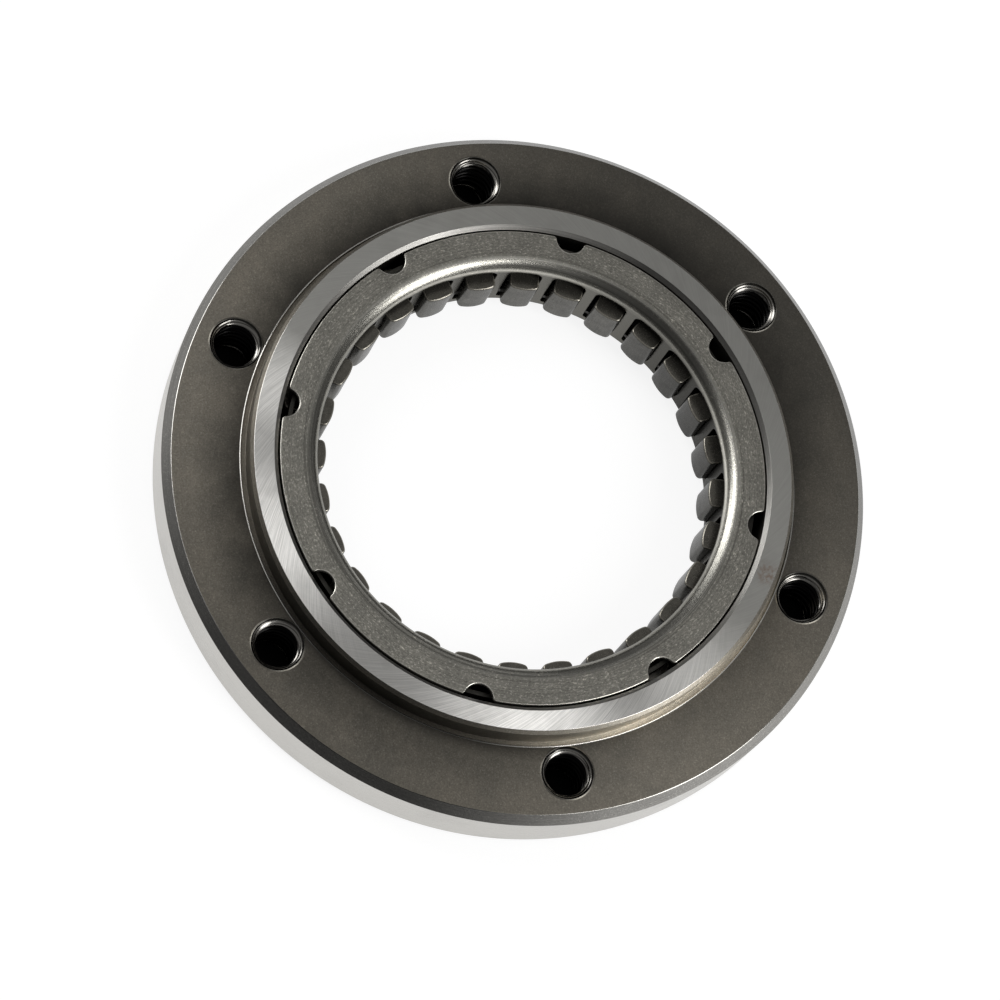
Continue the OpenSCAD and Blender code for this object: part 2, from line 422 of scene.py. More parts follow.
def dark_steel(name, tone, turned, light_patches=(), oil_and_shade=0.0):
    """Hardened brown-grey steel with soft stains, fine turned rings and pale specks. The last argument sets a
    darkening towards the hub that is partly oil film and partly painted shade.
    """
    material, net = new_material(name)
    spot, parts, radius, angle = place(net)

    def tint(*color):
        return tuple(c * tone for c in color)

    stain = noise(net, spot, 0.09, 5.0, 0.65)
    cloud = noise(net, spot, 0.9, 4.0)
    grain = noise(net, spot, 4.2, 3.0, 0.75)
    rings = streaks(net, (radius, parts[2], angle), (6.0, 6.0, 0.35))
    base = blend(net, ramp(net, stain, 0.3, 0.7), tint(0.088, 0.082, 0.070), tint(0.120, 0.108, 0.089))
    base = blend(net, ramp(net, cloud, 0.3, 0.75, 0.0, 0.35), base, tint(0.066, 0.062, 0.053))
    base = blend(net, ramp(net, grain, 0.5, 0.34, 0.0, 0.55), base, tint(0.052, 0.049, 0.041))
    base = blend(net, ramp(net, grain, 0.56, 0.76, 0.0, 0.5), base, tint(0.26, 0.245, 0.21))
    bumps = [(rings, 0.00002, turned), (grain, 0.00002, 0.5)]
    if oil_and_shade:
        # Painted shade: the face is made darker on its side towards 310°.
        side_shade = facing(net, angle, 310.0, 0.35, 0.95)
        base = blend(net, net.times(side_shade, 0.6), base, (0.05, 0.048, 0.044))
        # Darker towards the hub: partly an oil film, partly painted shade next to the hub, less on the side
        # towards 205° where a lamp falls.
        side = net.minus(oil_and_shade, net.times(facing(net, angle, 205.0, -0.1, 0.85), 0.5))
        oil_and_hub_shade = net.times(ramp(net, net.plus(radius, net.times(stain, 6.0)), 46.5, 56.0, 1.0, 0.0), side)
        # Painted shade at the hub's root on the side towards 145°.
        root_shade = net.times(ramp(net, radius, 44.6, 48.5, 0.85, 0.0), facing(net, angle, 145.0, 0.3, 0.8))
        base = blend(net, net.math("MAXIMUM", oil_and_hub_shade, root_shade), base, (0.021, 0.020, 0.018))
        mouth = nearest_centre(net, radius, angle, hole_count, hole_circle_r)
        # A raised burr round each hole mouth; its pale colour is a painted highlight.
        burr_and_highlight = ramp(net, mouth, mouth_r, mouth_r + 0.2, 1.0, 0.0)
        base = blend(net, burr_and_highlight, base, (0.22, 0.21, 0.185))
        bumps.append((burr_and_highlight, 0.0001, 1.0))
    # Painted light and shade by side, from the given patches.
    base = painted_side_light(net, angle, base, light_patches)
    rough = ramp(net, cloud, 0.3, 0.7, 0.36, 0.46)
    turning = {"sheen_across": 0.55, "marks_along": round_the_axis(net, angle)}
    close_material(net, metal_shader(net, base, rough, bumps, **turning))
    return material


def ground_face(name):
    """Ground hub face: pale steel crossed by two families of curved marks, each glossy across its marks. On
    the side where each family catches a lamp, its marks are painted near white, partly deeper marks and
    partly a painted highlight.
    """
    material, net = new_material(name)
    spot, _, radius, angle = place(net)
    # The grinding wheel's radius, how far its centre swings out, and its marks' fineness
    wheel, swing, fineness = 60.0, 35.0, 330.0
    reach = net.plus(net.times(radius, radius), swing * swing - wheel * wheel)
    lean = net.math("ARCCOSINE", net.math("DIVIDE", reach, net.times(radius, 2.0 * swing)))
    stain = noise(net, spot, 0.16, 3.0, 0.55)
    rust_spot = net.vmath("DISTANCE", spot, (-21.2, -36.2, hub_top))
    rust = net.times(ramp(net, rust_spot, 0.4, 2.4, 1.0, 0.0), ramp(net, noise(net, spot, 1.3), 0.4, 0.62))

    def finish(mark, low, high, rough, sheen, along):
        base = blend(net, ramp(net, mark, 0.35, 0.7), low, high)
        base = blend(net, ramp(net, stain, 0.5, 0.8, 0.0, 0.35), base, (0.24, 0.235, 0.215))
        base = blend(net, net.times(rust, 0.75), base, (0.20, 0.115, 0.07))
        marking = {"sheen_across": sheen, "marks_along": round_the_axis(net, angle, along)}
        return metal_shader(net, base, rough, [(mark, 0.00002, 0.4)], **marking)

    marks = []
    for k, side in enumerate((1.0, -1.0)):
        turn = net.plus(angle, net.times(lean, side))
        fine = net.polar(fineness, turn, net.plus(net.times(radius, 0.25), 30.0 * k))
        marks.append(noise(net, fine, 1.0, 4.0, 0.6))
    shine = finish(marks[0], (0.35, 0.345, 0.325), (0.42, 0.415, 0.39), 0.34, 0.6, 90.0)
    # Near-white marks towards 98° and 168°: partly deeper marks, partly a painted highlight where each family
    # catches a lamp.
    for mark, along, toward, none in zip(marks, (52.0, -61.0), (98.0, 168.0), (0.72, 0.5)):
        deep_marks_and_highlight = finish(mark, (0.76, 0.75, 0.72), (0.96, 0.94, 0.91), 0.42, 1.0, along)
        share = net.times(facing(net, angle, toward, none, 0.94), ramp(net, mark, 0.36, 0.62, 0.6, 1.0))
        shine = mixed(net, share, shine, deep_marks_and_highlight)
    close_material(net, shine)
    return material


def ground_side(name, low, high, gloss=0.30, light_patches=()):
    """Ground steel with fine marks that run round the axis, as on the outside diameter and the bevels."""
    material, net = new_material(name)
    spot, parts, radius, angle = place(net)
    marks = streaks(net, (radius, parts[2], angle), (9.0, 9.0, 1.3))
    stain = noise(net, spot, 0.12, 3.0, 0.55)
    grain = noise(net, spot, 4.0)
    dull, pale = ((c, c * 0.975, c * 0.92) for c in (low, high))
    base = blend(net, ramp(net, marks, 0.35, 0.7), dull, pale)
    base = blend(net, ramp(net, stain, 0.52, 0.8, 0.0, 0.3), base, (low * 0.7, low * 0.68, low * 0.64))
    base = blend(net, ramp(net, grain, 0.56, 0.72, 0.0, 0.3), base, (0.7, 0.68, 0.63))
    # Painted light and shade by side, from the given patches.
    base = painted_side_light(net, angle, base, light_patches)
    rough = ramp(net, marks, 0.3, 0.7, gloss * 0.8, gloss * 1.2)
    grinding = {"sheen_across": 0.5, "marks_along": round_the_axis(net, angle)}
    close_material(net, metal_shader(net, base, rough, [(marks, 0.00002, 0.5)], **grinding))
    return material


def cage_sheet(name, tone=1.0, grazing=0.6):
    """Stamped grey sheet: grainy with tumbled specks on the flat, burnished with drawn lines on the bend."""
    material, net = new_material(name)
    spot, parts, radius, angle = place(net)
    turned_place = (radius, parts[2], angle)
    specks = streaks(net, turned_place, (3.7, 3.7, 76.0), 5.0, 0.8)
    cloud = noise(net, spot, 0.35, 3.0, 0.6)
    lines = streaks(net, turned_place, (7.0, 7.0, 0.8))
    scuffs = streaks(net, turned_place, (3.2, 3.2, 45.0), 2.0)
    bend_x, bend_z = cage_in_r + bend_r, cage_top - bend_r
    drawn = ramp(net, radius, bend_x + 0.3, bend_x - 0.6)
    wall = ramp(net, parts[2], bend_z + 0.5, bend_z - 0.2)

    base = blend(net, ramp(net, cloud, 0.3, 0.7), (0.225, 0.218, 0.193), (0.29, 0.28, 0.247))
    base = blend(net, ramp(net, lines, 0.5, 0.36, 0.0, 0.5), base, (0.13, 0.125, 0.11))
    base = blend(net, ramp(net, specks, 0.55, 0.68, 0.0, 0.95), base, (0.78, 0.75, 0.67))
    base = blend(net, ramp(net, specks, 0.47, 0.34, 0.0, 0.75), base, (0.07, 0.066, 0.057))
    rings = net.times(ramp(net, lines, 0.52, 0.42, 0.0, 0.75), ramp(net, radius, bend_x + 0.9, bend_x + 0.2))
    base = blend(net, rings, base, (0.10, 0.096, 0.084))
    burnished = blend(net, ramp(net, lines, 0.35, 0.65), (0.22, 0.214, 0.19), (0.42, 0.41, 0.375))
    base = blend(net, net.times(drawn, 0.7), base, burnished)
    scuffed = net.times(ramp(net, scuffs, 0.60, 0.72, 0.0, 0.8), ramp(net, cloud, 0.4, 0.6))
    base = blend(net, scuffed, base, (0.80, 0.76, 0.66))
    # Painted highlights on the bend on the sides towards 8° and 265°, painted shade towards 300°.
    bend_patches = [(8.0, 0.82, 0.98, 1.6), (265.0, 0.86, 0.99, 1.9), (300.0, 0.8, 0.97, 0.55)]
    base = painted_side_light(net, angle, base, bend_patches, drawn)
    # Painted shade: the wall under the bend is darker, and darker still on the side towards 276°.
    base = blend(net, wall, base, (0.155, 0.150, 0.134))
    base = painted_side_light(net, angle, base, [(276.0, 0.70, 0.97, 0.3)], wall)

    # Painted highlight: the rounded rim and notch edges are painted pale and glossy.
    notch = nearest_centre(net, radius, angle, notch_count, cage_flange_r, notch_phase)
    at_rim = ramp(net, radius, cage_flange_r - 0.2, cage_flange_r - 0.1)
    cut = net.math("MAXIMUM", at_rim, ramp(net, notch, notch_r + 0.14, notch_r + 0.04))
    cut = net.times(cut, ramp(net, parts[2], cage_top - 0.3, cage_top - 0.2))
    base = net.scaled(blend(net, cut, base, (0.66, 0.64, 0.58)), tone)
    dull, glossy = (ramp(net, drawn, 0.0, 1.0, flat, bend) for flat, bend in ((0.52, 0.27), (0.40, 0.22)))
    rough = ramp(net, cut, 0.0, 1.0, ramp(net, specks, 0.3, 0.7, dull, glossy), 0.2)
    bumps = [(lines, 0.00002, 0.4), (scuffs, 0.00002, 0.3), (specks, 0.00003, 0.7)]
    close_material(net, metal_shader(net, base, rough, bumps, grazing=grazing))
    return material


def tumbled_steel(name, low, high, gloss, metal=1.0, grazing=0.6):
    """Tumbled hardened steel with small pits, fine lines along the axis and rounded end edges painted lighter
    as a painted highlight.
    """
    material, net = new_material(name)
    spot, parts, _, angle = place(net)

    def lighter(times):
        return tuple(c * times for c in high)

    pits = noise(net, spot, 2.6, 4.0)
    cloud = noise(net, spot, 0.5, 2.0, 0.6)
    drawn = streaks(net, parts, (5.0, 5.0, 0.4), 2.0, 0.6)
    base = blend(net, ramp(net, cloud, 0.3, 0.7), low, high)
    base = blend(net, ramp(net, drawn, 0.5, 0.7, 0.0, 0.4), base, lighter(1.5))
    base = blend(net, ramp(net, pits, 0.6, 0.75, 0.0, 0.5), base, lighter(1.8))
    end = sprag_z + sprag_len
    cam = ramp(net, parts[2], end - 0.02, end - 0.2)
    # Painted shade: the cam faces are darker on the sides towards 282° and 226°.
    base = painted_side_light(net, angle, base, [(282.0, 0.75, 0.98, 0.42), (226.0, 0.88, 0.98, 0.62)], cam)
    base = net.scaled(base, ramp(net, parts[2], end - 0.02, end - 0.005, 1.0, 0.8))
    base = blend(net, cam, base, net.vmath("MULTIPLY", base, (0.97, 1.0, 1.07)))
    # Painted highlight along the rounded end edges.
    edge_highlight = ramp(net, parts[2], end - 0.2, end - 0.08), ramp(net, parts[2], end - 0.01, end - 0.03)
    base = blend(net, net.times(net.times(*edge_highlight), metal), base, lighter(3.0))
    rough = ramp(net, pits, 0.3, 0.7, gloss * 1.15, gloss * 0.85)
    close_material(net, metal_shader(net, base, rough, [(pits, 0.00003, 0.45)], metal, grazing=grazing))
    return material


def tapped_steel(name):
    """Glossy first threads at the sunk mouth, painted pale with dark bands between the crests as painted
    highlight and shade, and painted black further down as the deep hole's shade, partly oil.
    """
    material, net = new_material(name)
    spot, parts, _, _ = place(net)
    depth = net.math("MINIMUM", net.minus(flange_t, parts[2]), parts[2])
    cloud = noise(net, spot, 0.9, 3.0, 0.6)
    ridges = net.math("SINE", net.times(depth, math.tau / 0.34))
    # Pale first threads and dark bands between the crests are painted highlight and shade; deeper down the
    # hole is painted black as its shade, partly oil.
    base = blend(net, ramp(net, depth, 0.2, 0.4), (0.05, 0.048, 0.043), (0.42, 0.405, 0.375))
    base = blend(net, ramp(net, ridges, -0.2, -0.9, 0.0, 0.8), base, (0.06, 0.057, 0.05))
    base = blend(net, ramp(net, net.plus(depth, cloud), 1.7, 2.4), base, (0.010, 0.0098, 0.0095))
    bumps = [(ridges, 0.000015, 0.8), (cloud, 0.00002, 0.3)]
    close_material(net, metal_shader(net, base, 0.24, bumps, grazing=0.6))
    return material


# Painted light and shade by side for the race's finishes: side in degrees, cosine where it starts and where
# it is full, factor.
hub_side_patches = [(208.0, 0.75, 0.97, 3.0), (130.0, 0.8, 0.97, 0.4), (335.0, 0.5, 0.95, 0.75)]
hub_bevel_patches = [(196.0, 0.82, 0.98, 2.1), (130.0, 0.8, 0.97, 0.4), (345.0, 0.0, 0.8, 0.55)]
edge_patches = [(142.0, 0.78, 0.96, 0.12), (320.0, 0.5, 0.95, 0.6)]
bore_patches = [(350.0, 0.88, 0.99, 2.4), (132.0, 0.6, 0.95, 0.6), (318.0, 0.7, 0.96, 0.55)]
rim_patches = [(132.0, 0.6, 0.95, 0.3), (206.0, 0.6, 0.95, 1.7), (320.0, 0.3, 0.95, 0.72)]
steel = {
    "dark": dark_steel("race_dark", 2.1, 0.6, oil_and_shade=0.9),
    "hub_side": dark_steel("race_turned", 2.0, 0.8, hub_side_patches),
    "hub_bevel": dark_steel("race_hub_bevel", 2.0, 0.8, hub_bevel_patches),
    "edge": ground_side("race_edge", 0.62, 0.75, 0.2, edge_patches),
    "hub_face": ground_face("race_ground_face"),
    "outside": ground_side("race_ground_side", 0.48, 0.60),
    "ground": ground_side("race_ground_bore", 0.26, 0.36, 0.36, bore_patches),
    "bevel": ground_side("race_bevel", 0.14, 0.21, 0.24, rim_patches),
    "thread": tapped_steel("race_thread"),
}
cage_steel = cage_sheet("cage_sheet")
# Painted shade: the outer cage is a third as bright and the ribbon spring near black, as they sit in the
# clutch's shade.
shaded_outer_cage_steel = cage_sheet("outer_cage_sheet", 0.35, 0.2)
shaded_spring_steel = tumbled_steel("spring_strip", (0.022, 0.022, 0.021), (0.035, 0.034, 0.032), 0.3, 1.0, 0.2)
sprag_steel = tumbled_steel("sprag_tumbled", (0.10, 0.095, 0.081), (0.15, 0.141, 0.121), 0.26, 0.7)


def turned_section_tree(material):
    """Turns an open chain of points round the axis: Columns steps of Rows points each."""
    tree, net, start = geometry_tree("turned_section", {"Columns": race_steps, "Rows": 2})
    grid, share, row = unit_grid(net, start["Columns"], net.minus(start["Rows"], 1.0))
    profile = net.split(sampled(net, start["Geometry"], position(net), row))
    where = net.polar(profile[0], net.times(share, math.tau), profile[2])
    end_tree(net, set_positions(net, grid, Position=where), material)
    return tree


def tapped_hole_tree(material):
    """Threaded bores with sunk mouths on a circle round the axis. Each row of points follows the helix."""
    sizes = {
        "Holes": hole_count,
        "Circle radius": hole_circle_r * MM,
        "Bore radius": bore_r * MM,
        "Mouth radius": mouth_r * MM,
        "Thread depth": thread_depth * MM,
        "Pitch": thread_pitch * MM,
        "Length": flange_t * MM,
        "Columns": hole_steps,
        "Steps per pitch": 8,
    }
    tree, net, start = geometry_tree("tapped_holes", sizes)
    pitch, length, steps = start["Pitch"], start["Length"], start["Steps per pitch"]
    rows = net.math("CEIL", net.times(net.math("DIVIDE", net.plus(length, pitch), pitch), steps))
    grid, share, row = unit_grid(net, start["Columns"], rows)
    pitches = net.math("DIVIDE", row, steps)
    lift = net.times(net.minus(net.plus(pitches, share), 1.0), pitch)
    height = net.math("MINIMUM", net.math("MAXIMUM", lift, 0.0), length)
    through = net.minus(net.math("FRACT", net.plus(pitches, 0.0001)), 0.5)
    swing = net.times(net.math("ABSOLUTE", through), 2.0)
    # A quarter of each pitch is the flat crest, the rest the tooth's two flanks
    tooth = net.math("DIVIDE", net.minus(0.75, swing), 0.75, clamp=True)
    threaded = net.plus(start["Bore radius"], net.times(tooth, start["Thread depth"]))
    depth = net.math("MINIMUM", height, net.minus(length, height))
    radius = net.math("MAXIMUM", threaded, net.minus(start["Mouth radius"], depth))
    bore = set_positions(net, grid, Position=net.polar(radius, net.times(share, math.tau), height))
    out = {"Geometry": bore, "Translation": net.vec(start["Circle radius"])}
    moved = net.add("GeometryNodeTransform", out).outputs[0]
    end_tree(net, set_round(net, moved, start["Holes"]), material)
    return tree


def holed_face(r0, r1, z):
    """Flat ring between two circles of points with the tapped holes left open."""
    points, edges = [], []

    def circle(cx, cy, r, n):
        first = len(points)
        for k in range(n):
            a = math.tau * k / n
            points.append(Vector((cx + r * math.cos(a), cy + r * math.sin(a))))
        edges.extend((first + k, first + (k + 1) % n) for k in range(n))

    circle(0, 0, r0, race_steps)
    circle(0, 0, r1, race_steps)
    turns = [math.tau * k / hole_count for k in range(hole_count)]
    centres = [(hole_circle_r * math.cos(a), hole_circle_r * math.sin(a)) for a in turns]
    for cx, cy in centres:
        circle(cx, cy, mouth_r, hole_steps)
    found, _, faces, *_ = delaunay_2d_cdt(points, edges, [], 0, 1e-5)

    def kept(face):
        m = sum((Vector(found[i]) for i in face), Vector((0, 0))) / len(face)
        return r0 < m.length < r1 and all((m - Vector(c)).length > mouth_r * 0.999 for c in centres)

    return plain_mesh("holed_face", [(p.x, p.y, z) for p in found], [f for f in faces if kept(f)])


def turned(chain, tree):
    edges = [(k, k + 1) for k in range(len(chain) - 1)]
    section = plain_mesh("section", [(r, 0.0, z) for r, z in chain], edges=edges)
    return grow("turned", tree, section, Columns=race_steps, Rows=len(chain))


def joined(name, parts):
    bm = bmesh.new()
    for part in parts:
        if isinstance(part, bpy.types.Object):
            bm.from_mesh(part.data)
            bpy.data.objects.remove(part)
        else:
            bm.from_mesh(part)
    mesh = bpy.data.meshes.new(name)
    bm.to_mesh(mesh)
    bm.free()
    return stand(name, mesh)


# Where the turned chains meet the flat holed faces
front_in_r = groove_r + 0.22
front_out_r = flange_r - rim_bevel_w - 0.3
back_in_r = shoulder_r + shoulder_bevel + 0.2
back_out_r = flange_r - back_bevel - 0.3
burr_h = 0.07
inner_chain = softened(
    [
        (front_in_r, flange_t),
        (groove_r + burr_h, flange_t + burr_h),
        (groove_r, flange_t),
        (groove_r, flange_t - groove_h),
        (hub_r, flange_t - groove_h),
        (hub_r, hub_top - hub_bevel),
        (hub_r - hub_bevel, hub_top),
        (raceway_r + bore_bevel, hub_top),
        (raceway_r, hub_top - bore_bevel),
        (raceway_r, shoulder_h + relief_h),
        (raceway_r + relief_w, shoulder_h + relief_h - relief_w),
        (raceway_r + relief_w, shoulder_h),
        (shoulder_r, shoulder_h),
        (shoulder_r, shoulder_bevel),
        (shoulder_r + shoulder_bevel, 0.0),
        (back_in_r, 0.0),
    ],
    0.09,
)
outer_chain = softened(
    [
        (back_out_r, 0.0),
        (flange_r - back_bevel, 0.0),
        (flange_r, back_bevel),
        (flange_r, flange_t - rim_bevel_h),
        (flange_r - rim_bevel_w, flange_t),
        (front_out_r, flange_t),
    ],
    0.12,
)
turning = turned_section_tree(steel["dark"])
race = joined(
    "outer_race_finish",
    [
        turned(inner_chain, turning),
        turned(outer_chain, turning),
        holed_face(front_in_r, front_out_r, flange_t),
        holed_face(back_in_r, back_out_r, 0.0),
        grow("tapped", tapped_hole_tree(steel["thread"])),
    ],
)
finish_surface(race, 34.0)


def race_finish(r, z, up, centre):
    """The finish of a face of the race, by its place and slope."""
    turn = math.tau / hole_count
    a = round(math.atan2(centre.y, centre.x) / turn) * turn
    hole = (hole_circle_r * math.cos(a), hole_circle_r * math.sin(a))
    near = 0.01
    on_hub = r > hub_r - hub_bevel - 0.05
    if math.dist(centre.xy, hole) < mouth_r - near and 0.001 < z < flange_t - 0.001:
        return "thread"
    if z > hub_top - 0.08 and up < 0.99 and r > hub_r - 0.8:
        return "edge"
    if z > hub_top - near:
        return "hub_face"
    if z > hub_top - hub_bevel + 0.05 and on_hub:
        return "hub_bevel"
    if r > flange_r - near or z < near:
        return "outside"
    if z > hub_top - bore_bevel - 0.05 and not on_hub:
        return "ground"
    if r > front_out_r:
        return "dark" if up > 0.995 else "edge" if z > flange_t - 0.07 else "bevel"
    if groove_r - near < r < groove_r + 0.3 and z > flange_t - 0.08:
        return "edge" if up < 0.99 else "dark"
    if z > flange_t - near and r > hub_r + 0.5:
        return "dark"
    return "hub_side" if z > flange_t - groove_h - 0.05 and on_hub else "dark"


paint_regions(race, steel, race_finish)
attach(race, "race")
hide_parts("outer_race")


# The cage's sheet, laid flat: s runs from the flange's edge round the bend and down the wall
edge_r = 0.14
flat_s = cage_flange_r - (cage_in_r + bend_r)
mid_r = bend_r - sheet_t / 2
bend_s = mid_r * math.pi / 2
wall_s = cage_top - bend_r - cage_foot
sheet_end = flat_s + bend_s + wall_s
flat_r = cage_in_r + sheet_t / 2
quarter = 90


def on_sheet(s, h):
    """Radius and height of the sheet's point at length s from its outer edge and h above its middle."""
    bend_x, bend_z = cage_in_r + bend_r, cage_top - bend_r
    if s <= flat_s:
        return cage_flange_r - s, cage_top - sheet_t / 2 + h
    if s <= flat_s + bend_s:
        a = (s - flat_s) / mid_r
        return bend_x - (mid_r + h) * math.sin(a), bend_z + (mid_r + h) * math.cos(a)
    return flat_r - h, bend_z - (s - flat_s - bend_s)


def notch_edge():
    """Edge of the flange through one notch centred on Y: points with their normals into the sheet."""
    centre = cage_flange_r + notch_out
    lip = cage_flange_r - notch_lip
    reach = notch_r + notch_lip
    a = math.acos((lip * lip + centre * centre - reach * reach) / (2 * lip * centre))
    lx, ly = lip * math.sin(a), lip * math.cos(a)
    start = math.degrees(a) + 90.0
    toward = math.degrees(math.atan2(centre - ly, lx))
    out = []
    for x, y in arc(-lx, ly, notch_lip, start, toward, 5):
        out.append((x, y, (-lx - x) / notch_lip, (ly - y) / notch_lip))
    a0 = math.degrees(math.atan2(ly - centre, -lx))
    a1 = math.degrees(math.atan2(ly - centre, lx))
    for x, y in arc(0, centre, notch_r, a0, a1, 14)[1:]:
        out.append((x, y, x / notch_r, (y - centre) / notch_r))
    return out + [(-x, y, -nx, ny) for x, y, nx, ny in reversed(out[:5])]


def cage_rim(first, width):
    """The flange's edge with its notches: (length round, s, normal into the sheet) as on the flat sheet."""
    runs = []
    for phase in (notch_phase + k * 360.0 / notch_count for k in range(notch_count)):
        if not first < phase < first + quarter:
            continue
        run = []
        for x, y, nx, ny in notch_edge():
            r, a = math.hypot(x, y), math.atan2(x, y)
            inward = nx * math.sin(a) + ny * math.cos(a)
            across = ny * math.sin(a) - nx * math.cos(a)
            run.append((math.radians(phase) - a - math.radians(first), r, across, inward))
        runs.append(run[::-1])
    runs.sort(key=lambda run: run[0][0])
    step = math.radians(1.0)
    rim = []
    at = 0.0
    for run in runs:
        gap = run[0][0] - at
        n = max(1, round(gap / step))
        rim += [(at + gap * k / n, cage_flange_r, 0.0, -1.0) for k in range(n)] + run
        at = run[-1][0]
    gap = width - at
    n = max(1, round(gap / step))
    rim += [(at + gap * k / n, cage_flange_r, 0.0, -1.0) for k in range(1, n + 1)]
    rim = [rim[0]] + [b for a, b in zip(rim, rim[1:]) if b[0] - a[0] > 1e-7 or abs(b[1] - a[1]) > 1e-6]
    return [(t * flat_r, cage_flange_r - r, across * flat_r / r, -inward) for t, r, across, inward in rim]


def cage_window(phase):
    """Edge of one window on the flat sheet, with its normals into the sheet."""
    u0, u1 = ((phase - x / flat_r) * flat_r for x in (window_x1, window_x0))
    s0, s1 = (flat_s + bend_s + (cage_top - bend_r - z) for z in (window_z1, window_z0))
    foot, top = window_foot_round, window_top_round
    corners = (
        (u1 - foot, s1 - foot, foot, 0),
        (u0 + foot, s1 - foot, foot, 90),
        (u0 + top, s0 + top, top, 180),
        (u1 - top, s0 + top, top, 270),
    )
    ring = []
    for cx, cy, q, a in corners:
        ring += [(x, y, (x - cx) / q, (y - cy) / q) for x, y in arc(cx, cy, q, a, a + 90, 6)]
    dense = []
    for a, b in zip(ring, ring[1:] + ring[:1]):
        n = max(1, int(math.dist(a[:2], b[:2]) / 0.7))
        dense += [tuple(a[i] + (b[i] - a[i]) * m / n for i in range(4)) for m in range(n)]
    return dense


def inset(loop, d):
    return [(x + nx * d, s + ns * d) for x, s, nx, ns in loop]


def flat_sheet(rim, foot, windows, width):
    """Points and faces of the flat sheet between its outlines, drawn in by the rounding of the edges."""
    top, low = inset(rim, edge_r), inset(foot, edge_r)
    holes = [inset(window, edge_r) for window in windows]
    rows = [flat_s * k / 4 for k in range(1, 4)] + [flat_s + bend_s * k / 12 for k in range(13)]
    rows += [flat_s + bend_s + wall_s * k / 9 for k in range(1, 9)]
    side = [s for s in rows if edge_r + 0.2 < s < sheet_end - edge_r - 0.2]
    points, edges = [], []

    def add_chain(chain, closed=False):
        base = len(points)
        points.extend(Vector(p) for p in chain)
        edges.extend((base + k, base + k + 1) for k in range(len(chain) - 1))
        if closed:
            edges.append((base + len(chain) - 1, base))

    add_chain(top)
    add_chain(low)
    for x in (0.0, width):
        add_chain([(x, s) for s in [edge_r] + side + [sheet_end - edge_r]])
    for hole in holes:
        add_chain(hole, True)

    room = 0.28
    notched = [p for p in top if p[1] > edge_r + 0.05]

    def clear(x, s):
        """Whether a point here is clear of every outline."""
        if s < edge_r + room or s > sheet_end - edge_r - room:
            return False
        if any(abs(px - x) < room and ps > s - room for px, ps in notched):
            return False
        for window in windows:
            xs, ss = [p[0] for p in window], [p[1] for p in window]
            near = edge_r + room
            if min(xs) - near < x < max(xs) + near and min(ss) - near < s < max(ss) + near:
                return False
        return True

    for s in side:
        for k in range(1, quarter):
            x = width * k / quarter
            if clear(x, s):
                points.append(Vector((x, s)))
    found, _, faces, *_ = delaunay_2d_cdt(points, edges, [], 0, 1e-6)
    outline = top + low[::-1]

    def kept(face):
        m = sum((Vector(found[i]) for i in face), Vector((0, 0))) / 3
        return inside(m, outline) and not any(inside(m, hole) for hole in holes)

    return found, [face for face in faces if kept(face)]


def cage_quarter():
    """A quarter of the cage: its sheet cut out flat, then bent and turned into place with rounded edges."""
    first = sprag_phase + 180.0 / sprag_count
    width = math.radians(quarter)
    rim = cage_rim(first, width)
    foot = [(width * flat_r * k / quarter, sheet_end, 0.0, -1.0) for k in range(quarter + 1)]
    windows = [cage_window(math.radians(360.0 / sprag_count * (k + 0.5))) for k in range(sprag_count // 4)]
    found, faces = flat_sheet(rim, foot, windows, width * flat_r)
    half = sheet_t / 2
    verts, polys = [], []

    def put(x, s, h):
        r, z = on_sheet(s, h)
        a = math.radians(first) + x / flat_r
        verts.append((r * math.cos(a), r * math.sin(a), z))
        return len(verts) - 1

    for h, order in ((half, 1), (-half, -1)):
        ids = [put(p[0], p[1], h) for p in found]
        polys += [tuple(ids[i] for i in face[::order]) for face in faces]
    turns = [math.radians(a) for a in (0, 30, 60, 90)]
    layers = [(edge_r * (1 - math.sin(a)), half - edge_r * (1 - math.cos(a))) for a in turns]
    layers += [(d, -h) for d, h in reversed(layers)]
    for loop, closed in [(rim, False), (foot, False)] + [(window, True) for window in windows]:
        rings = [[put(x, s, h) for x, s in inset(loop, d)] for d, h in layers]
        n = len(loop)
        for a, b in zip(rings, rings[1:]):
            for k in range(n if closed else n - 1):
                polys.append((a[k], a[(k + 1) % n], b[(k + 1) % n], b[k]))
    return plain_mesh("cage_quarter", verts, polys)


def turned_copies_tree(material):
    """Copies of a sector set side by side round the axis."""
    tree, net, start = geometry_tree("turned_copies", {"Copies": 4})
    end_tree(net, set_round(net, start["Geometry"], start["Copies"]), material)
    return tree


cage = grow("inner_cage_finish", turned_copies_tree(cage_steel), cage_quarter(), Copies=4)
finish_surface(cage, 50.0)
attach(cage, "cage_set")
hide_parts("inner_cage")


def sprag_head(cx, cy, r, w, q, outward):
    """Cam arc of this radius with rounded corners, facing the axis or outward."""
    x = w / 2 - q
    y = -math.sqrt((r - q) ** 2 - x * x)
    lean = math.degrees(math.atan2(y, x))
    points = arc(-x, y, q, 180, 180 - lean, 5)
    points += arc(0, 0, r, 180 - lean, 360 + lean, 10)[1:-1]
    points += arc(x, y, q, 360 + lean, 360, 5)
    side = -1 if outward else 1
    return [(side * a + cx, side * b + cy) for a, b in points]


